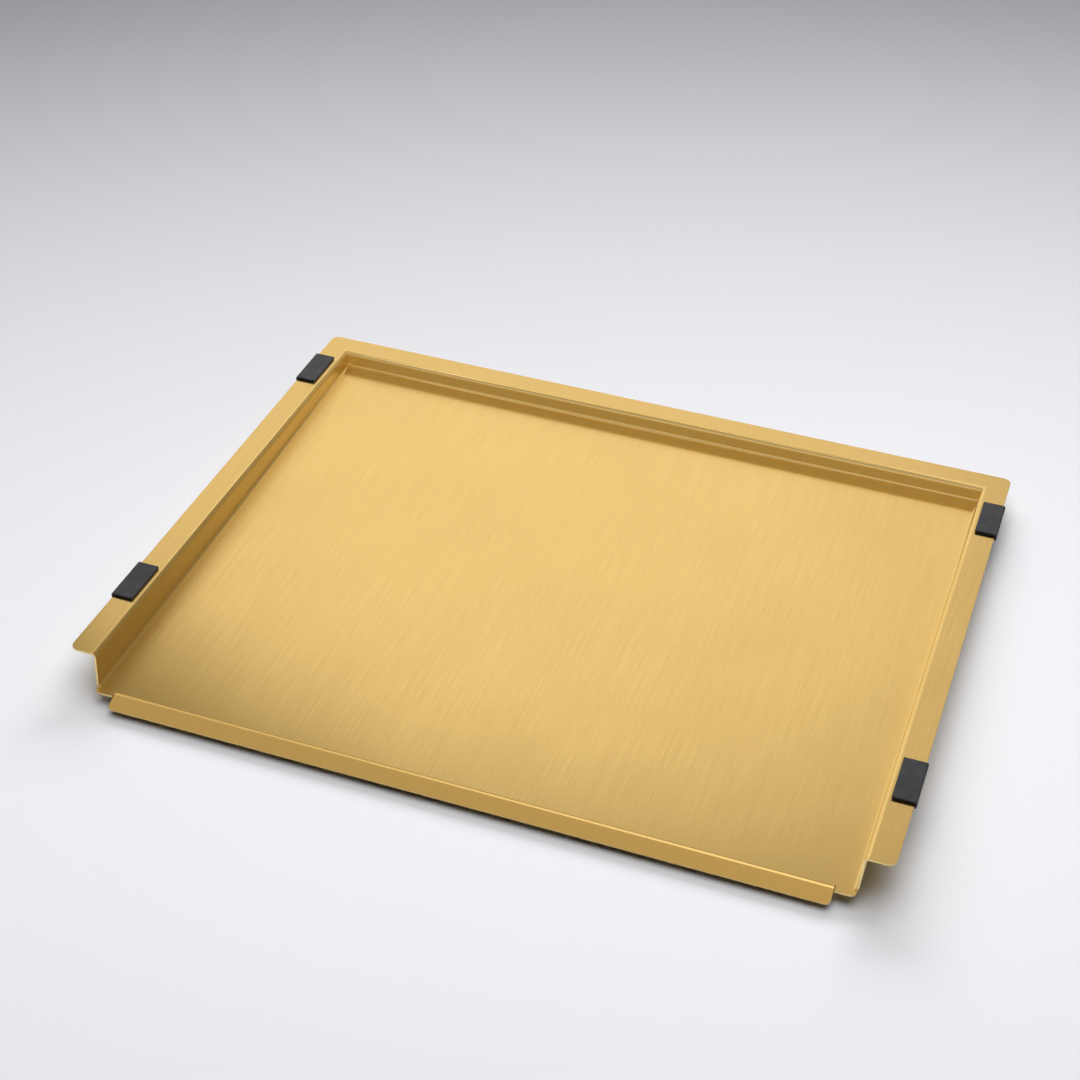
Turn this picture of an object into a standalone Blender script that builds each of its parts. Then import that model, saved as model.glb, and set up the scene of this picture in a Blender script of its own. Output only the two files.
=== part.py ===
"""Sink drainer tray: one folded sheet of brass with four push-on edge pads.

Metres, +Z up.  The tray stands on z = 0, on the lower edge of its drip lip and
on the heel of its back fold, and its box is centred on x = 0 and y = 0.
The open side with the lip faces -Y.

The sheet is drawn with the upper face of its floor in the plane z = 0 of the
empty "tray_stand", which leans it until lip and heel both touch the surface.
The rim is a plane that climbs towards the front, so the floor falls towards
the lip when the rim lies level across a sink.
"""
from math import atan2, cos, pi, radians, sin, tan

import bmesh
import bpy
from mathutils import Euler, Vector

# Sheet
SHEET = 0.0012
RIM_WIDTH = 0.445
RIM_DEPTH = 0.342
RIM_FLANGE = 0.0155
RIM_CORNER_RADIUS = 0.0047
BACK_WALL_HEIGHT = 0.0103
DRAIN_ANGLE = radians(1.83)
WALL_LEAN = radians(2.5)
WALL_FRONT_RAKE = 0.0024

# Folds, measured on the upper side of the sheet; the back corners are mitred
RIM_FOLD_RADIUS = 0.0028
FLOOR_FOLD_RADIUS = 0.0018
LIP_FOLD_RADIUS = 0.0060
FOLD_SEGMENTS = 6

# Front edge of the floor: an ear at each side and the drip lip between them
EAR_LENGTH = 0.0042
EAR_CORNER_RADIUS = 0.0035
LIP_SETBACK = 0.0017
LIP_INSET = 0.0110
LIP_LENGTH = 0.0098
LIP_ANGLE = radians(20.0)
LIP_CORNER_RADIUS = 0.0030
RELIEF_GAP = 0.0004
OUTLINE_SEGMENTS = 6

# Edge pads: a jaw around the rim's edge, reaching in to just short of the rim's fold
PAD_LENGTH = 0.0305
PAD_FOLD_GAP = 0.0011
PAD_PLATE = 0.0014
PAD_BACK = 0.0009
PAD_EDGE_RADIUS = 0.0012
PAD_EDGE_SEGMENTS = 4
PAD_CLEARANCE = 0.0003
# Side of each pad, and its middle as a share of the rim's depth from the rim's centre
PAD_STATIONS = {
    "pad_left_rear": (-1, 0.378),
    "pad_left_front": (-1, -0.317),
    "pad_right_rear": (1, 0.365),
    "pad_right_front": (1, -0.325),
}

BRASS = {"color": (0.80, 0.57, 0.22, 1.0), "roughness": 0.32, "metallic": 1.0}
RUBBER = {"color": (0.028, 0.029, 0.033, 1.0), "roughness": 0.62, "metallic": 0.0}

# Lines where the unrounded faces of the sheet meet, and how far its folds reach from them
WALL_TURN = pi / 2 - WALL_LEAN
WALL_TOP_X = RIM_WIDTH / 2 - RIM_FLANGE
WALL_TOP_Y = RIM_DEPTH / 2 - RIM_FLANGE
RIM_FRONT_Y = -RIM_DEPTH / 2
FLOOR_FOLD_REACH = FLOOR_FOLD_RADIUS * tan(WALL_TURN / 2)
RIM_FOLD_REACH = RIM_FOLD_RADIUS * tan(WALL_TURN / 2)
LIP_FOLD_REACH = LIP_FOLD_RADIUS * tan(LIP_ANGLE / 2)
PAD_GRIP = RIM_FLANGE - RIM_FOLD_REACH - PAD_FOLD_GAP


def rim_height(y):
    """Height of the rim's upper face over the floor's upper face."""
    return BACK_WALL_HEIGHT + (WALL_TOP_Y - y) * tan(DRAIN_ANGLE)


BACK_FOOT_X = WALL_TOP_X - rim_height(WALL_TOP_Y) * tan(WALL_LEAN)
BACK_FOOT_Y = WALL_TOP_Y - rim_height(WALL_TOP_Y) * tan(WALL_LEAN)
FRONT_FOOT_X = WALL_TOP_X - rim_height(RIM_FRONT_Y) * tan(WALL_LEAN)
FRONT_FOOT_Y = RIM_FRONT_Y - WALL_FRONT_RAKE
EAR_X = FRONT_FOOT_X + SHEET / 2
EAR_TIP_Y = FRONT_FOOT_Y - EAR_LENGTH
LIP_X = EAR_X - LIP_INSET
SLOT_X = LIP_X + RELIEF_GAP
LIP_BEND_Y = FRONT_FOOT_Y - LIP_SETBACK
LIP_TIP_Y = LIP_BEND_Y - LIP_LENGTH * cos(LIP_ANGLE)
LIP_TIP_Z = -LIP_LENGTH * sin(LIP_ANGLE)


def clear_scene():
    for old in list(bpy.data.objects):
        bpy.data.objects.remove(old, do_unlink=True)


def make_material(name, look):
    material = bpy.data.materials.new(name)
    material.use_nodes = True
    shader = material.node_tree.nodes["Principled BSDF"]
    shader.inputs["Base Color"].default_value = look["color"]
    shader.inputs["Roughness"].default_value = look["roughness"]
    shader.inputs["Metallic"].default_value = look["metallic"]
    material.diffuse_color = look["color"]
    return material


def make_empty(name, collection, parent=None):
    empty = bpy.data.objects.new(name, None)
    empty.parent = parent
    collection.objects.link(empty)
    return empty


def make_object(name, mesh, collection, parent):
    made = bpy.data.objects.new(name, mesh)
    made.parent = parent
    collection.objects.link(made)
    return made


def make_mesh(name, bm):
    mesh = bpy.data.meshes.new(name)
    bm.to_mesh(mesh)
    bm.free()
    return mesh


def arc(radius, turn):
    """Points of a fold's arc: how far along the first face, and how far off it."""
    angles = [turn * step / FOLD_SEGMENTS for step in range(FOLD_SEGMENTS + 1)]
    return [(radius * sin(angle), radius * (1 - cos(angle))) for angle in angles]


def floor_panel():
    """Right half of the floor between its folds, split in line with the slot beside the lip."""
    bm = bmesh.new()
    bmesh.ops.create_grid(bm, x_segments=3, y_segments=1, size=1.0)
    for vert in bm.verts:
        at_back = vert.co.y > 0
        foot_x = BACK_FOOT_X if at_back else FRONT_FOOT_X
        columns = (0.0, LIP_X, SLOT_X, foot_x - FLOOR_FOLD_REACH)
        vert.co.x = columns[round((vert.co.x + 1) * 1.5)]
        vert.co.y = BACK_FOOT_Y - FLOOR_FOLD_REACH if at_back else FRONT_FOOT_Y
    return bm


def beside_slot(point):
    """Whether a point lies at the side wall rather than in line with the lip."""
    return point.x > (SLOT_X + FRONT_FOOT_X) / 2


def free_edges(bm, inside):
    """Free edges whose middle passes a test."""
    return [edge for edge in bm.edges
            if edge.is_boundary and inside((edge.verts[0].co + edge.verts[1].co) / 2)]


def extrude(bm, edges, place):
    """Extrude edges and move each new vertex to place(its old position); give the new edges."""
    made = bmesh.ops.extrude_edge_only(bm, edges=edges)["geom"]
    moved = {item for item in made if isinstance(item, bmesh.types.BMVert)}
    for vert in moved:
        vert.co = place(vert.co)
    return [item for item in made
            if isinstance(item, bmesh.types.BMEdge) and moved.issuperset(item.verts)]


def from_wall_foot(point, outwards, height):
    """Place on the cross-section of the walls, measured from their foot."""
    at_front = point.y < 0
    foot_x = FRONT_FOOT_X if at_front else BACK_FOOT_X
    x = foot_x + outwards if beside_slot(point) else point.x
    y = FRONT_FOOT_Y if at_front else BACK_FOOT_Y + outwards
    return Vector((x, y, height))


def from_wall_top(point, outwards, height):
    """Place on the cross-section of the walls, measured from their top."""
    x = WALL_TOP_X + outwards if beside_slot(point) else point.x
    y = RIM_FRONT_Y if point.y < 0 else WALL_TOP_Y + outwards
    return Vector((x, y, rim_height(y) + height))


def raise_walls_and_rim(bm):
    """Carry the floor's side and back edges through both folds to the rim's outline."""
    edges = free_edges(bm, lambda middle: middle.y > 0 or (beside_slot(middle) and middle.y > RIM_FRONT_Y))
    for along, off in arc(FLOOR_FOLD_RADIUS, WALL_TURN)[1:]:
        edges = extrude(bm, edges, lambda point: from_wall_foot(point, along - FLOOR_FOLD_REACH, off))
    for along, off in reversed(arc(RIM_FOLD_RADIUS, WALL_TURN)):
        edges = extrude(bm, edges, lambda point: from_wall_top(point, RIM_FOLD_REACH - along, -off))
    extrude(bm, edges, lambda point: from_wall_top(point, RIM_FLANGE, 0.0))


def add_ear(bm):
    """Carry the floor's front edge beside the slot out to the ear's tip."""
    edges = free_edges(bm, lambda middle: middle.y < RIM_FRONT_Y and middle.x > SLOT_X)
    for y in (FRONT_FOOT_Y - RELIEF_GAP, EAR_TIP_Y):
        edges = extrude(bm, edges, lambda point: Vector((EAR_X if beside_slot(point) else SLOT_X, y, 0.0)))


def add_lip(bm):
    """Carry the floor's front edge through the lip's fold to its tip."""
    edges = free_edges(bm, lambda middle: middle.y < RIM_FRONT_Y and 0 < middle.x < LIP_X)
    for along, off in arc(LIP_FOLD_RADIUS, LIP_ANGLE):
        y = LIP_BEND_Y + LIP_FOLD_REACH - along
        edges = extrude(bm, edges, lambda point: Vector((point.x, y, -off)))
    extrude(bm, edges, lambda point: Vector((point.x, LIP_TIP_Y, LIP_TIP_Z)))


def round_outline(bm):
    """Round the free corners of the rim, the ear and the lip."""
    corners = [(RIM_WIDTH / 2, y, rim_height(y), RIM_CORNER_RADIUS) for y in (RIM_FRONT_Y, RIM_DEPTH / 2)]
    corners.append((EAR_X, EAR_TIP_Y, 0.0, EAR_CORNER_RADIUS))
    corners.append((LIP_X, LIP_TIP_Y, LIP_TIP_Z, LIP_CORNER_RADIUS))
    for x, y, z, radius in corners:
        corner = min(bm.verts, key=lambda vert: (vert.co - Vector((x, y, z))).length)
        bmesh.ops.bevel(bm, geom=[corner], offset=radius, offset_type="OFFSET", affect="VERTICES",
                        segments=OUTLINE_SEGMENTS, profile=0.5)


def folded_sheet_half():
    """Right half of the upper face of the sheet."""
    bm = floor_panel()
    add_lip(bm)
    add_ear(bm)
    raise_walls_and_rim(bm)
    bm.normal_update()
    bmesh.ops.dissolve_limit(bm, angle_limit=radians(0.5), verts=bm.verts, edges=bm.edges)
    round_outline(bm)
    return make_mesh("tray", bm)


def make_tray(collection, stand):
    tray = make_object("tray", folded_sheet_half(), collection, stand)
    tray.data.materials.append(make_material("brass", BRASS))
    mirror = tray.modifiers.new("other_half", "MIRROR")
    mirror.merge_threshold = 0.0001
    thickness = tray.modifiers.new("thickness", "SOLIDIFY")
    thickness.thickness = SHEET
    thickness.use_even_offset = True


def box(low, high):
    """Box between two corners."""
    bm = bmesh.new()
    bmesh.ops.create_cube(bm, size=1.0)
    size = Vector(high) - Vector(low)
    for vert in bm.verts:
        vert.co = Vector(low) + Vector(share * (part + 0.5) for share, part in zip(size, vert.co))
    return bm


def round_outer_edges(bm):
    """Round the two long edges on the +X side of a pad."""
    far_x = max(vert.co.x for vert in bm.verts)
    edges = [edge for edge in bm.edges
             if all(vert.co.x == far_x for vert in edge.verts)
             and edge.verts[0].co.z == edge.verts[1].co.z]
    bmesh.ops.bevel(bm, geom=edges, offset=PAD_EDGE_RADIUS, offset_type="OFFSET", affect="EDGES",
                    segments=PAD_EDGE_SEGMENTS, profile=0.5)


def make_pads(collection, cutters, rim):
    """Four pads on the rim's side edges; +X of a pad points away from the tray."""
    jaw = SHEET / 2 + PAD_CLEARANCE
    height = jaw + PAD_PLATE
    back = PAD_CLEARANCE + PAD_BACK
    block = box((-PAD_GRIP, -PAD_LENGTH / 2, -height), (back, PAD_LENGTH / 2, height))
    round_outer_edges(block)
    body = make_mesh("pad", block)
    body.materials.append(make_material("rubber", RUBBER))
    slot = make_mesh("pad_jaw", box((-2 * PAD_GRIP, -PAD_LENGTH, -jaw), (PAD_CLEARANCE, PAD_LENGTH, jaw)))
    for name, (side, station) in PAD_STATIONS.items():
        pad = make_object(name, body, collection, rim)
        pad.location = (side * RIM_WIDTH / 2, station * RIM_DEPTH, -SHEET / 2)
        pad.rotation_euler.z = 0.0 if side > 0 else pi
        cutter = make_object(name + "_jaw", slot, cutters, pad)
        cutter.hide_render = True
        cutter.display_type = "WIRE"
        cut = pad.modifiers.new("jaw", "BOOLEAN")
        cut.operation = "DIFFERENCE"
        cut.solver = "EXACT"
        cut.object = cutter


def stand_on_surface(stand):
    """Lean the sheet until lip and heel touch z = 0, and centre its box over the origin."""
    toe = Vector((0.0, LIP_TIP_Y, LIP_TIP_Z)) + SHEET * Vector((0.0, sin(LIP_ANGLE), -cos(LIP_ANGLE)))
    heel = Vector((0.0, BACK_FOOT_Y - FLOOR_FOLD_REACH, -SHEET))
    front = Vector((0.0, LIP_TIP_Y, LIP_TIP_Z))
    back = Vector((0.0, RIM_DEPTH / 2, rim_height(RIM_DEPTH / 2)))
    lean = Euler((atan2(toe.z - heel.z, heel.y - toe.y), 0.0, 0.0))
    for point in (heel, front, back):
        point.rotate(lean)
    stand.rotation_euler = lean
    stand.location = (0.0, -(front.y + back.y) / 2, -heel.z)


def main():
    clear_scene()
    collection = bpy.data.collections.new("drainer_tray")
    cutters = bpy.data.collections.new("cutters")
    for group in (collection, cutters):
        bpy.context.scene.collection.children.link(group)
    stand = make_empty("tray_stand", collection)
    stand_on_surface(stand)
    rim = make_empty("rim_plane", collection, stand)
    rim.location.z = rim_height(0.0)
    rim.rotation_euler.x = -DRAIN_ANGLE
    make_tray(collection, stand)
    make_pads(collection, cutters, rim)


main()
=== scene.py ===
"""Looks of the brass drainer tray: finer sheet and pads around the CAD frame, in a pale studio."""

from math import cos, pi, radians, sin, tan

import bmesh
import bpy
from mathutils import Euler, Matrix, Vector


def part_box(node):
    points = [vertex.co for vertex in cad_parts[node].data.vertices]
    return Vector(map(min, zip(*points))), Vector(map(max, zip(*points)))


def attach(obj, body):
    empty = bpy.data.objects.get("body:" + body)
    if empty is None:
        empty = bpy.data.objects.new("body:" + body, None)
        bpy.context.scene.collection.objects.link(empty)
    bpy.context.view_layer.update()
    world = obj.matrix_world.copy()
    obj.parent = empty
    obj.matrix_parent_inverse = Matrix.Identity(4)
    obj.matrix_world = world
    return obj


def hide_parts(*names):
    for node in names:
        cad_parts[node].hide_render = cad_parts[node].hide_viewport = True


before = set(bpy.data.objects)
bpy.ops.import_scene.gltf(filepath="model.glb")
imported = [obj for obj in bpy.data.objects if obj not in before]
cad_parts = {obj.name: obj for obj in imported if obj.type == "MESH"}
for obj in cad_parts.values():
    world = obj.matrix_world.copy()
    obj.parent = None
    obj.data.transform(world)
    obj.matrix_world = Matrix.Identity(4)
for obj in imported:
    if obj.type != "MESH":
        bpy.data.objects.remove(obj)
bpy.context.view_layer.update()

# Overall sizes, read from the frame
TRAY_LOW, TRAY_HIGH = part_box("tray")
RIM_WIDTH = TRAY_HIGH.x - TRAY_LOW.x

# The sheet, as in the CAD
SHEET = 0.0012
RIM_DEPTH = 0.342
RIM_FLANGE = 0.0155
RIM_CORNER_RADIUS = 0.0047
BACK_WALL_HEIGHT = 0.0103
DRAIN_ANGLE = radians(1.83)
WALL_LEAN = radians(2.5)
WALL_FRONT_RAKE = 0.0024
RIM_FOLD_RADIUS = 0.0028
FLOOR_FOLD_RADIUS = 0.0018
LIP_FOLD_RADIUS = 0.0060
EAR_LENGTH = 0.0042
EAR_CORNER_RADIUS = 0.0035
LIP_SETBACK = 0.0017
LIP_INSET = 0.0110
LIP_LENGTH = 0.0098
LIP_ANGLE = radians(20.0)
LIP_CORNER_RADIUS = 0.0030
RELIEF_GAP = 0.0004

# How the sheet stands on its lip and its heel, as in the CAD
STAND_LEAN = radians(-0.55717)
STAND_RISE = 0.00269094
STAND_SHIFT = 0.0066228

# The pads, as in the CAD
PAD_LENGTH = 0.0305
PAD_FOLD_GAP = 0.0011
PAD_PLATE = 0.0014
PAD_BACK = 0.0009
PAD_EDGE_RADIUS = 0.0012
PAD_CLEARANCE = 0.0003

# Finer than the CAD
FOLD_SEGMENTS = 16
LIP_SEGMENTS = 12
OUTLINE_SEGMENTS = 12
CUT_EDGE_RADIUS = 0.00014
CUT_EDGE_SEGMENTS = 2
PAD_ARC_SEGMENTS = 6
PAD_SOFT_RADIUS = 0.00025
PAD_SOFT_SEGMENTS = 3
SHARP_ANGLE = radians(60.0)

# Tolerances: what counts as flat, how near points merge, and how far ahead of its foot the back wall's
# fold may start
FLAT_ANGLE = radians(0.3)
FLAT_WITHIN = 0.00001
MERGE_WITHIN = 0.00001
BACK_FOLD_WITHIN = 0.002

# Brass: dark and light tones of the brushing, a cloudy tone over them, and the rim's darker tone
BRASS_DARK = (0.865, 0.660, 0.296, 1.0)
BRASS_LIGHT = (0.930, 0.742, 0.366, 1.0)
BRASS_CLOUD = (0.895, 0.698, 0.325, 1.0)
RIM_TONE = (0.89, 0.875, 0.85, 1.0)
GRAIN_STRETCH = 0.018
GRAIN_FINE = 1700.0
GRAIN_COARSE = 620.0
GRAIN_SHARES = (0.55, 0.45)
GRAIN_RANGE = (0.30, 0.70)
GRAIN_ROUGHNESS = (0.27, 0.22)
CLOUD_SCALE = 14.0
CLOUD_TONE_RANGE = (0.35, 0.65)
CLOUD_TONE_MOST = 0.35
CLOUD_ROUGHNESS_RANGE = (0.3, 0.7)
CLOUD_ROUGHNESS = (-0.015, 0.02)
BRUSH_DEPTH = 0.00002
BRUSH_STRENGTH = 0.12

# Rubber: clean and dusty tones, and a fine grit
RUBBER_CLEAN = (0.020, 0.022, 0.029, 1.0)
RUBBER_DUSTY = (0.034, 0.037, 0.046, 1.0)
GRIT_SCALE = 2600.0
GRIT_RANGE = (0.3, 0.7)
GRIT_ROUGHNESS = (0.50, 0.66)
DUST_SCALE = 160.0
DUST_RANGE = (0.40, 0.75)
RUBBER_SHEEN = 0.40
GRIT_DEPTH = 0.00004
GRIT_STRENGTH = 0.35

# Camera, at the photograph's angle
CAMERA_PLACE = (0.275151, -0.839091, 0.756039)
CAMERA_TURN = (50.8097, -0.6359, 19.6508)
CAMERA_LENS = 68.016
CAMERA_SENSOR = 36.0
CAMERA_NEAR = 0.05

# Studio floor: pale near the camera, with painted shade that darkens it away from the camera, and a painted
# glow that lights it far out
FLOOR_SIZE = 120.0
FLOOR_DROP = 0.0035
FLOOR_NEAR = (0.825, 0.83, 0.862, 1.0)
FLOOR_PAINTED_SHADE = (0.130, 0.132, 0.143, 1.0)
VIEW_HEADING = (-0.336, 0.942, 0.0)
PAINTED_SHADE_FADE = (-0.30, 1.0)
PAINTED_GLOW_FADE = (1.3, 3.2)
FLOOR_ROUGHNESS = 0.9
FLOOR_SHEEN = 0.1

# What the metal mirrors past the softboxes; a layer has its axis (1 is Y, 2 is Z), start, end and tone
ROOM_IN_FRONT = (0.43, 0.43, 0.45, 1.0)
ROOM_BEHIND = (0.36, 0.29, 0.175, 1.0)
CEILING = (0.54, 0.42, 0.24, 1.0)
HORIZON = (0.36, 0.36, 0.37, 1.0)
ROOM_LAYERS = (
    (1, -0.2, 0.3, ROOM_BEHIND),
    (2, 0.45, 0.95, CEILING),
    (2, 0.20, 0.05, HORIZON),
)

# Softboxes that the metal mirrors; reach is how far the warm middle goes sideways, up and down
SOFTBOX_WARM = (0.96, 0.830, 0.624, 1.0)
SOFTBOX_EDGE = (0.21, 0.17, 0.10, 1.0)
BACK_SOFTBOX = {
    "size": (3.6, 1.60),
    "place": (-0.38, 0.90, 0.65),
    "aim": (-0.38, 0.0, 0.65),
    "strength": 1.06,
    "reach": (0.72, 0.57, 0.75),
    "softness": 0.30,
    "edge": SOFTBOX_EDGE,
}
HIGH_SOFTBOX = {
    "size": (3.2, 1.5),
    "place": (0.40, 0.68, 2.03),
    "aim": (0.40, -0.18, 0.0),
    "strength": 1.7,
    "reach": (0.95, 0.58, 0.30),
    "softness": 0.25,
    "edge": ROOM_BEHIND,
}
FRONT_SOFTBOX = {
    "size": (3.0, 0.96),
    "place": (0.1, -1.5, 0.50),
    "aim": (0.1, 0.0, 0.50),
    "strength": 0.85,
    "reach": (1.2, 0.38, 0.42),
    "softness": 0.25,
    "edge": ROOM_IN_FRONT,
}

# Lights for the floor and the rubber
KEY_LIGHT = {"size": (1.5, 0.7), "place": (-0.28, 1.15, 0.85), "aim": (0.0, -0.1, 0.0), "power": 24.0}
FILL_LIGHT = {"size": (2.2, 2.2), "place": (0.1, 0.05, 2.1), "aim": (0.0, 0.0, 0.0), "power": 40.0}

# Worked out from the values above
WALL_TURN = pi / 2 - WALL_LEAN
WALL_TOP_X = RIM_WIDTH / 2 - RIM_FLANGE
WALL_TOP_Y = RIM_DEPTH / 2 - RIM_FLANGE
RIM_FRONT_Y = -RIM_DEPTH / 2
FLOOR_FOLD_REACH = FLOOR_FOLD_RADIUS * tan(WALL_TURN / 2)
RIM_FOLD_REACH = RIM_FOLD_RADIUS * tan(WALL_TURN / 2)
LIP_FOLD_REACH = LIP_FOLD_RADIUS * tan(LIP_ANGLE / 2)
PAD_GRIP = RIM_FLANGE - RIM_FOLD_REACH - PAD_FOLD_GAP


def rim_height(y):
    """Height of the rim's upper face over the floor's upper face."""
    return BACK_WALL_HEIGHT + (WALL_TOP_Y - y) * tan(DRAIN_ANGLE)


BACK_FOOT_X = WALL_TOP_X - rim_height(WALL_TOP_Y) * tan(WALL_LEAN)
BACK_FOOT_Y = WALL_TOP_Y - rim_height(WALL_TOP_Y) * tan(WALL_LEAN)
FRONT_FOOT_X = WALL_TOP_X - rim_height(RIM_FRONT_Y) * tan(WALL_LEAN)
FRONT_FOOT_Y = RIM_FRONT_Y - WALL_FRONT_RAKE
EAR_X = FRONT_FOOT_X + SHEET / 2
EAR_TIP_Y = FRONT_FOOT_Y - EAR_LENGTH
LIP_X = EAR_X - LIP_INSET
SLOT_X = LIP_X + RELIEF_GAP
LIP_BEND_Y = FRONT_FOOT_Y - LIP_SETBACK
LIP_TIP_Y = LIP_BEND_Y - LIP_LENGTH * cos(LIP_ANGLE)
LIP_TIP_Z = -LIP_LENGTH * sin(LIP_ANGLE)

STAND = Matrix.Translation((0.0, STAND_SHIFT, STAND_RISE)) @ Matrix.Rotation(STAND_LEAN, 4, "X")
RIM_PLANE = STAND @ Matrix.Translation((0.0, 0.0, rim_height(0.0))) @ Matrix.Rotation(-DRAIN_ANGLE, 4, "X")


# ---------------------------------------------------------------- node helpers
class Graph:
    """Small helper that adds and links the nodes of one material."""

    def __init__(self, name):
        self.material = bpy.data.materials.new(name)
        self.material.use_nodes = True
        self.tree = self.material.node_tree
        self.shader = self.tree.nodes["Principled BSDF"]

    def node(self, kind, values=None, **settings):
        made = self.tree.nodes.new(kind)
        for key, value in settings.items():
            setattr(made, key, value)
        for key, value in (values or {}).items():
            self.put(value, made.inputs[key])
        return made

    def put(self, value, socket):
        if isinstance(value, bpy.types.NodeSocket):
            self.tree.links.new(value, socket)
        else:
            socket.default_value = value

    def math(self, operation, *values):
        made = self.node("ShaderNodeMath", operation=operation)
        for slot, value in enumerate(values):
            self.put(value, made.inputs[slot])
        return made.outputs[0]

    def remap(self, value, low, high, to_low, to_high, smooth=False):
        kind = "SMOOTHSTEP" if smooth else "LINEAR"
        made = self.node("ShaderNodeMapRange", interpolation_type=kind)
        for slot, given in enumerate((value, low, high, to_low, to_high)):
            self.put(given, made.inputs[slot])
        return made.outputs[0]

    def mix(self, factor, first, second, blend="MIX"):
        made = self.node("ShaderNodeMix", data_type="RGBA", blend_type=blend)
        self.put(factor, made.inputs[0])
        self.put(first, made.inputs[6])
        self.put(second, made.inputs[7])
        return made.outputs[2]

    def noise(self, vector, scale, detail, roughness=0.5):
        made = self.node("ShaderNodeTexNoise")
        self.put(vector, made.inputs["Vector"])
        made.inputs["Scale"].default_value = scale
        made.inputs["Detail"].default_value = detail
        made.inputs["Roughness"].default_value = roughness
        return made.outputs[0]


def brass_material():
    """Brass brushed from front to back; the UV map "grain" is the flat blank in metres."""
    g = Graph("brass_brushed")
    blank = g.node("ShaderNodeUVMap", uv_map="grain").outputs[0]
    across = g.node("ShaderNodeMapping", {"Vector": blank, "Scale": (1.0, GRAIN_STRETCH, 1.0)}).outputs[0]
    fine = g.noise(across, GRAIN_FINE, detail=3.0, roughness=0.7)
    coarse = g.noise(across, GRAIN_COARSE, detail=4.0, roughness=0.65)
    clouds = g.noise(blank, CLOUD_SCALE, detail=3.0)
    fine_share, coarse_share = GRAIN_SHARES
    streak = g.math("ADD", g.math("MULTIPLY", fine, fine_share), g.math("MULTIPLY", coarse, coarse_share))
    base = g.mix(g.remap(streak, *GRAIN_RANGE, 0.0, 1.0), BRASS_DARK, BRASS_LIGHT)
    toned = g.mix(g.remap(clouds, *CLOUD_TONE_RANGE, 0.0, CLOUD_TONE_MOST), base, BRASS_CLOUD)
    rim = g.node("ShaderNodeAttribute", attribute_name="rim").outputs["Fac"]
    g.put(g.mix(rim, toned, RIM_TONE, blend="MULTIPLY"), g.shader.inputs["Base Color"])
    g.shader.inputs["Metallic"].default_value = 1.0
    rough = g.remap(streak, *GRAIN_RANGE, *GRAIN_ROUGHNESS)
    uneven = g.remap(clouds, *CLOUD_ROUGHNESS_RANGE, *CLOUD_ROUGHNESS)
    g.put(g.math("ADD", rough, uneven), g.shader.inputs["Roughness"])
    g.shader.inputs["Anisotropic"].default_value = 1.0
    tangent = g.node("ShaderNodeTangent", direction_type="UV_MAP", uv_map="grain").outputs[0]
    g.put(tangent, g.shader.inputs["Tangent"])
    bump = g.node("ShaderNodeBump", {"Height": streak, "Distance": BRUSH_DEPTH, "Strength": BRUSH_STRENGTH})
    g.put(bump.outputs[0], g.shader.inputs["Normal"])
    return g.material


def rubber_material():
    """Matt black rubber with a fine grit and a little dust."""
    g = Graph("rubber_black")
    place = g.node("ShaderNodeTexCoord").outputs["Object"]
    grit = g.noise(place, GRIT_SCALE, detail=3.0, roughness=0.6)
    dust = g.noise(place, DUST_SCALE, detail=4.0)
    base = g.mix(g.remap(dust, *DUST_RANGE, 0.0, 1.0), RUBBER_CLEAN, RUBBER_DUSTY)
    g.put(base, g.shader.inputs["Base Color"])
    g.put(g.remap(grit, *GRIT_RANGE, *GRIT_ROUGHNESS), g.shader.inputs["Roughness"])
    g.shader.inputs["Specular IOR Level"].default_value = RUBBER_SHEEN
    bump = g.node("ShaderNodeBump", {"Height": grit, "Distance": GRIT_DEPTH, "Strength": GRIT_STRENGTH})
    g.put(bump.outputs[0], g.shader.inputs["Normal"])
    return g.material


# ---------------------------------------------------------------- the sheet
def arc(radius, turn, segments):
    """Points of a fold's arc: how far along the first face, and how far off it."""
    angles = [turn * step / segments for step in range(segments + 1)]
    return [(radius * sin(angle), radius * (1 - cos(angle))) for angle in angles]


def floor_panel():
    """Right half of the floor between its folds, split in line with the slot beside the lip."""
    cells = 3
    bm = bmesh.new()
    bmesh.ops.create_grid(bm, x_segments=cells, y_segments=1, size=1.0)
    for vert in bm.verts:
        at_back = vert.co.y > 0
        foot_x = BACK_FOOT_X if at_back else FRONT_FOOT_X
        columns = (0.0, LIP_X, SLOT_X, foot_x - FLOOR_FOLD_REACH)
        vert.co.x = columns[round((vert.co.x + 1) / 2 * cells)]
        vert.co.y = BACK_FOOT_Y - FLOOR_FOLD_REACH if at_back else FRONT_FOOT_Y
    return bm


def beside_slot(point):
    """Whether a point lies at the side wall rather than in line with the lip."""
    return point.x > (SLOT_X + FRONT_FOOT_X) / 2


def free_edges(bm, inside):
    """Free edges whose middle passes a test."""
    return [edge for edge in bm.edges
            if edge.is_boundary and inside((edge.verts[0].co + edge.verts[1].co) / 2)]


def extrude(bm, edges, place):
    """Extrude edges and move each new vertex to place(its old position); give the new edges."""
    made = bmesh.ops.extrude_edge_only(bm, edges=edges)["geom"]
    moved = {item for item in made if isinstance(item, bmesh.types.BMVert)}
    for vert in moved:
        vert.co = place(vert.co)
    return [item for item in made
            if isinstance(item, bmesh.types.BMEdge) and moved.issuperset(item.verts)]


def from_wall_foot(point, outwards, height):
    """Place on the cross-section of the walls, measured from their foot."""
    at_front = point.y < 0
    foot_x = FRONT_FOOT_X if at_front else BACK_FOOT_X
    x = foot_x + outwards if beside_slot(point) else point.x
    y = FRONT_FOOT_Y if at_front else BACK_FOOT_Y + outwards
    return Vector((x, y, height))


def from_wall_top(point, outwards, height):
    """Place on the cross-section of the walls, measured from their top."""
    x = WALL_TOP_X + outwards if beside_slot(point) else point.x
    y = RIM_FRONT_Y if point.y < 0 else WALL_TOP_Y + outwards
    return Vector((x, y, rim_height(y) + height))


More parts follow.
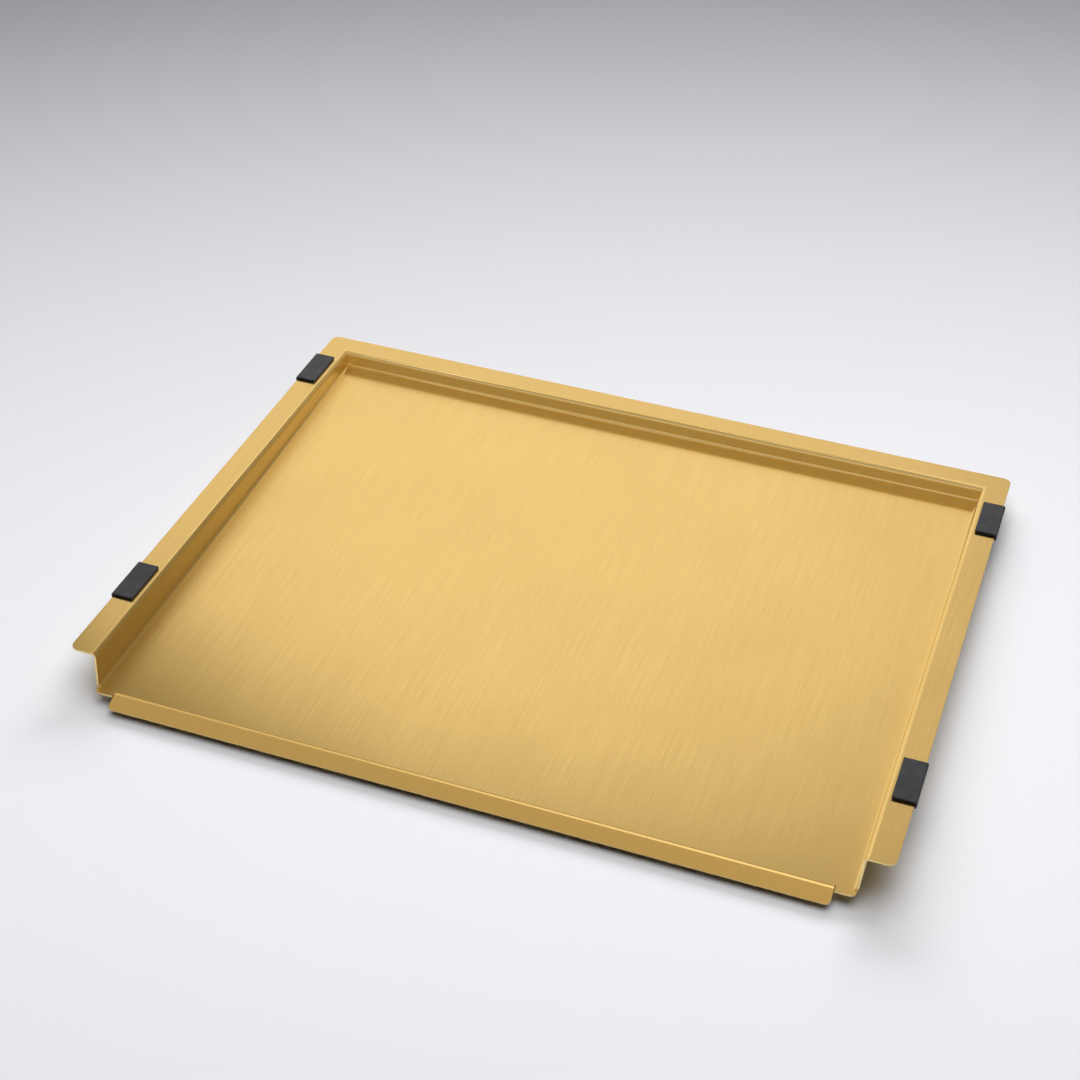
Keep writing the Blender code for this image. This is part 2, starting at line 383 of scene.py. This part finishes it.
def raise_walls_and_rim(bm):
    """Carry the floor's side and back edges through both folds to the rim's outline."""
    edges = free_edges(bm, lambda middle: middle.y > 0 or (beside_slot(middle) and middle.y > RIM_FRONT_Y))
    for along, off in arc(FLOOR_FOLD_RADIUS, WALL_TURN, FOLD_SEGMENTS)[1:]:
        edges = extrude(bm, edges, lambda point: from_wall_foot(point, along - FLOOR_FOLD_REACH, off))
    for along, off in reversed(arc(RIM_FOLD_RADIUS, WALL_TURN, FOLD_SEGMENTS)):
        edges = extrude(bm, edges, lambda point: from_wall_top(point, RIM_FOLD_REACH - along, -off))
    extrude(bm, edges, lambda point: from_wall_top(point, RIM_FLANGE, 0.0))


def add_ear(bm):
    """Carry the floor's front edge beside the slot out to the ear's tip."""
    edges = free_edges(bm, lambda middle: middle.y < RIM_FRONT_Y and middle.x > SLOT_X)
    for y in (FRONT_FOOT_Y - RELIEF_GAP, EAR_TIP_Y):
        edges = extrude(bm, edges, lambda point: Vector((EAR_X if beside_slot(point) else SLOT_X, y, 0.0)))


def add_lip(bm):
    """Carry the floor's front edge through the lip's fold to its tip."""
    edges = free_edges(bm, lambda middle: middle.y < RIM_FRONT_Y and 0 < middle.x < LIP_X)
    for along, off in arc(LIP_FOLD_RADIUS, LIP_ANGLE, LIP_SEGMENTS):
        y = LIP_BEND_Y + LIP_FOLD_REACH - along
        edges = extrude(bm, edges, lambda point: Vector((point.x, y, -off)))
    extrude(bm, edges, lambda point: Vector((point.x, LIP_TIP_Y, LIP_TIP_Z)))


def round_outline(bm):
    """Round the free corners of the rim, the ear and the lip."""
    corners = [(RIM_WIDTH / 2, y, rim_height(y), RIM_CORNER_RADIUS) for y in (RIM_FRONT_Y, RIM_DEPTH / 2)]
    corners.append((EAR_X, EAR_TIP_Y, 0.0, EAR_CORNER_RADIUS))
    corners.append((LIP_X, LIP_TIP_Y, LIP_TIP_Z, LIP_CORNER_RADIUS))
    for x, y, z, radius in corners:
        corner = min(bm.verts, key=lambda vert: (vert.co - Vector((x, y, z))).length)
        bmesh.ops.bevel(bm, geom=[corner], offset=radius, offset_type="OFFSET", affect="VERTICES",
                        segments=OUTLINE_SEGMENTS, profile=0.5)


def lay_out_grain(bm):
    """UV map of the flat blank, so the brushing runs as it was rolled, and a mark on the flat rim."""
    grain = bm.loops.layers.uv.new("grain")
    rim = bm.faces.layers.float.new("rim")
    for face in bm.faces:
        middle = face.calc_center_median()
        near_back = middle.y - BACK_FOOT_Y > abs(middle.x) - BACK_FOOT_X
        on_back = near_back and middle.y > BACK_FOOT_Y - BACK_FOLD_WITHIN
        face[rim] = float(all(abs(vert.co.z - rim_height(vert.co.y)) < FLAT_WITHIN for vert in face.verts))
        for loop in face.loops:
            x, y, z = loop.vert.co
            side = 1.0 if middle.x > 0 else -1.0
            loop[grain].uv = (x, y + z) if on_back else (x + side * z, y)


def sheet_mesh():
    """The sheet's middle surface, whole, standing as the part stands."""
    bm = floor_panel()
    add_lip(bm)
    add_ear(bm)
    raise_walls_and_rim(bm)
    bm.normal_update()
    bmesh.ops.dissolve_limit(bm, angle_limit=FLAT_ANGLE, verts=bm.verts, edges=bm.edges)
    round_outline(bm)
    half = bm.verts[:] + bm.edges[:] + bm.faces[:]
    bmesh.ops.mirror(bm, geom=half, axis="X", merge_dist=MERGE_WITHIN)
    bmesh.ops.recalc_face_normals(bm, faces=bm.faces)
    if max(bm.faces, key=lambda face: face.calc_area()).normal.z < 0:
        bmesh.ops.reverse_faces(bm, faces=bm.faces)
    lay_out_grain(bm)
    mesh = bpy.data.meshes.new("tray_sheet")
    bm.to_mesh(mesh)
    bm.free()
    mesh.transform(STAND)
    return mesh


def make_sheet():
    """The folded sheet, given its thickness and its softened cut edges."""
    sheet = bpy.data.objects.new("tray_sheet", sheet_mesh())
    bpy.context.scene.collection.objects.link(sheet)
    sheet.data.materials.append(brass_material())
    thickness = sheet.modifiers.new("thickness", "SOLIDIFY")
    thickness.thickness = SHEET
    thickness.use_even_offset = True
    edges = sheet.modifiers.new("cut_edges", "BEVEL")
    edges.limit_method = "ANGLE"
    edges.angle_limit = SHARP_ANGLE
    edges.width = CUT_EDGE_RADIUS
    edges.segments = CUT_EDGE_SEGMENTS
    sheet.data.shade_smooth()
    normals = sheet.modifiers.new("flat_faces", "WEIGHTED_NORMAL")
    normals.keep_sharp = True
    return sheet


# ---------------------------------------------------------------- the pads
def pad_mesh():
    """U-shaped strip: its section is drawn once and pulled along the rim; +X points away from the tray."""
    jaw = SHEET / 2 + PAD_CLEARANCE
    top = jaw + PAD_PLATE
    back = PAD_CLEARANCE + PAD_BACK
    bm = bmesh.new()
    section = [(-PAD_GRIP, jaw), (-PAD_GRIP, top)]
    for step in range(PAD_ARC_SEGMENTS + 1):
        angle = pi / 2 * step / PAD_ARC_SEGMENTS
        arc_x = back - PAD_EDGE_RADIUS * (1 - sin(angle))
        arc_z = top - PAD_EDGE_RADIUS * (1 - cos(angle))
        section.append((arc_x, arc_z))
    section += [(x, -z) for x, z in reversed(section)]
    section += [(PAD_CLEARANCE, -jaw), (PAD_CLEARANCE, jaw)]
    ring = [bm.verts.new((x, -PAD_LENGTH / 2, z)) for x, z in section]
    face = bm.faces.new(ring)
    pulled = bmesh.ops.extrude_face_region(bm, geom=[face])["geom"]
    far_end = [item for item in pulled if isinstance(item, bmesh.types.BMVert)]
    bmesh.ops.translate(bm, vec=(0.0, PAD_LENGTH, 0.0), verts=far_end)
    bmesh.ops.recalc_face_normals(bm, faces=bm.faces)
    mesh = bpy.data.meshes.new("pad")
    bm.to_mesh(mesh)
    bm.free()
    return mesh


def make_pads():
    """One pad at each CAD pad's place along the rim; gives (node, object) pairs."""
    mesh = pad_mesh()
    mesh.materials.append(rubber_material())
    mesh.shade_smooth()
    pads = []
    for node in sorted(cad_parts):
        if not node.startswith("pad_"):
            continue
        low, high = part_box(node)
        side = 1 if (low.x + high.x) > 0 else -1
        middle = RIM_PLANE.inverted() @ ((low + high) / 2)
        pad = bpy.data.objects.new(node + "_rubber", mesh)
        bpy.context.scene.collection.objects.link(pad)
        seat = Matrix.Translation((side * RIM_WIDTH / 2, middle.y, -SHEET / 2))
        turn = Matrix.Rotation(0.0 if side > 0 else pi, 4, "Z")
        pad.matrix_world = RIM_PLANE @ seat @ turn
        soft = pad.modifiers.new("soft_edges", "BEVEL")
        soft.limit_method = "ANGLE"
        soft.angle_limit = SHARP_ANGLE
        soft.width = PAD_SOFT_RADIUS
        soft.segments = PAD_SOFT_SEGMENTS
        pad.modifiers.new("flat_faces", "WEIGHTED_NORMAL").keep_sharp = True
        pads.append((node, pad))
    return pads


# ---------------------------------------------------------------- the studio
def plane(name, size, material):
    """Flat rectangle at the origin, facing up."""
    bm = bmesh.new()
    bmesh.ops.create_grid(bm, x_segments=1, y_segments=1, size=0.5)
    bmesh.ops.scale(bm, vec=(size[0], size[1], 1.0), verts=bm.verts)
    mesh = bpy.data.meshes.new(name)
    bm.to_mesh(mesh)
    bm.free()
    mesh.materials.append(material)
    made = bpy.data.objects.new(name, mesh)
    bpy.context.scene.collection.objects.link(made)
    return made


def aim_at(thing, place, aim):
    """Move a card or light to its place and turn its -Z towards its aim."""
    thing.location = place
    thing.rotation_euler = (Vector(aim) - Vector(place)).to_track_quat("-Z", "Y").to_euler()


def make_light(name, size, place, aim, power):
    """Soft rectangular light, aimed; the metal doesn't mirror it."""
    data = bpy.data.lights.new(name, "AREA")
    data.shape = "RECTANGLE"
    data.size, data.size_y = size
    data.energy = power
    light = bpy.data.objects.new(name, data)
    bpy.context.scene.collection.objects.link(light)
    aim_at(light, place, aim)
    light.visible_glossy = False
    return light


def floor_material():
    """Pale sweep with painted shade that darkens it away from the camera, and a faint painted glow far out.
    """
    g = Graph("studio_floor")
    place = g.node("ShaderNodeTexCoord").outputs["Object"]
    along = g.node("ShaderNodeVectorMath", {0: place, 1: VIEW_HEADING}, operation="DOT_PRODUCT")
    # painted shade: the base colour darkens away from the camera, standing in for the light falling off
    far = g.remap(along.outputs["Value"], *PAINTED_SHADE_FADE, 0.0, 1.0, smooth=True)
    g.put(g.mix(far, FLOOR_NEAR, FLOOR_PAINTED_SHADE), g.shader.inputs["Base Color"])
    away = g.node("ShaderNodeVectorMath", {0: place}, operation="LENGTH")
    # painted light: the floor glows faintly far out, standing in for light on the far sweep
    glow = g.remap(away.outputs["Value"], *PAINTED_GLOW_FADE, 0.0, 1.0, smooth=True)
    g.shader.inputs["Emission Color"].default_value = HORIZON
    g.put(glow, g.shader.inputs["Emission Strength"])
    g.shader.inputs["Roughness"].default_value = FLOOR_ROUGHNESS
    g.shader.inputs["Specular IOR Level"].default_value = FLOOR_SHEEN
    return g.material


def glow_material(name, strength, edge, reach, softness):
    """Lit cloth: warm in the middle, the edge colour outside its reach (sideways, up, down) in metres."""
    g = Graph(name)
    parts = g.node("ShaderNodeSeparateXYZ", {"Vector": g.node("ShaderNodeTexCoord").outputs["Object"]})
    across = g.math("DIVIDE", parts.outputs[0], reach[0])
    up = g.math("DIVIDE", g.math("MAXIMUM", parts.outputs[1], 0.0), reach[1])
    down = g.math("DIVIDE", g.math("MINIMUM", parts.outputs[1], 0.0), reach[2])
    height = g.math("ADD", up, down)
    squares = g.math("ADD", g.math("MULTIPLY", across, across), g.math("MULTIPLY", height, height))
    ring = g.math("SQRT", squares)
    outside = g.remap(ring, 1.0 - softness, 1.0 + softness, 0.0, 1.0, smooth=True)
    g.put(g.mix(outside, SOFTBOX_WARM, edge), g.shader.inputs["Emission Color"])
    g.shader.inputs["Base Color"].default_value = (0.0, 0.0, 0.0, 1.0)
    g.shader.inputs["Roughness"].default_value = 1.0
    g.shader.inputs["Specular IOR Level"].default_value = 0.0
    g.shader.inputs["Emission Strength"].default_value = strength
    return g.material


def make_softbox(name, size, place, aim, strength, reach, softness, edge):
    """Card of lit cloth, aimed."""
    card = plane(name + "_softbox", size, glow_material(name + "_cloth", strength, edge, reach, softness))
    aim_at(card, place, aim)
    return card


def reflected_only(card):
    """A card that metal mirrors but that the camera and the floor don't see."""
    card.visible_camera = False
    card.visible_diffuse = False
    card.visible_shadow = False
    return card


def make_world():
    """What the metal mirrors past the softboxes: a dim room in front, warmer behind and overhead."""
    world = bpy.data.worlds.new("studio")
    bpy.context.scene.world = world
    world.use_nodes = True
    world.cycles_visibility.diffuse = False
    nodes = world.node_tree.nodes
    links = world.node_tree.links
    parts = nodes.new("ShaderNodeSeparateXYZ")
    links.new(nodes.new("ShaderNodeTexCoord").outputs["Generated"], parts.inputs[0])
    room = nodes.new("ShaderNodeRGB").outputs[0]
    room.default_value = ROOM_IN_FRONT
    for axis, start, end, tone in ROOM_LAYERS:
        rise = nodes.new("ShaderNodeMapRange")
        rise.inputs["From Min"].default_value = start
        rise.inputs["From Max"].default_value = end
        links.new(parts.outputs[axis], rise.inputs[0])
        mix = nodes.new("ShaderNodeMix")
        mix.data_type = "RGBA"
        links.new(rise.outputs[0], mix.inputs[0])
        links.new(room, mix.inputs[6])
        mix.inputs[7].default_value = tone
        room = mix.outputs[2]
    links.new(room, nodes["Background"].inputs["Color"])


def make_studio():
    """The floor, the cards that the metal mirrors, and the lights."""
    floor = plane("studio_floor", (FLOOR_SIZE, FLOOR_SIZE), floor_material())
    floor.location.z = -FLOOR_DROP
    back = make_softbox("back", **BACK_SOFTBOX)
    high = make_softbox("high", **HIGH_SOFTBOX)
    front = make_softbox("front", **FRONT_SOFTBOX)
    key = make_light("key_softbox", **KEY_LIGHT)
    fill = make_light("fill_softbox", **FILL_LIGHT)
    reflected_only(back)
    reflected_only(high)
    reflected_only(front)


def make_camera():
    """Camera at the photograph's angle."""
    data = bpy.data.cameras.new("camera")
    data.sensor_width = CAMERA_SENSOR
    data.lens = CAMERA_LENS
    data.clip_start = CAMERA_NEAR
    camera = bpy.data.objects.new("camera", data)
    camera.location = CAMERA_PLACE
    camera.rotation_euler = Euler([radians(turn) for turn in CAMERA_TURN])
    bpy.context.scene.collection.objects.link(camera)
    bpy.context.scene.camera = camera


sheet = make_sheet()
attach(sheet, "tray")
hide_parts("tray")
for node, pad in make_pads():
    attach(pad, node)
    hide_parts(node)
make_studio()
make_world()
make_camera()
bpy.context.scene.view_settings.view_transform = "Standard"
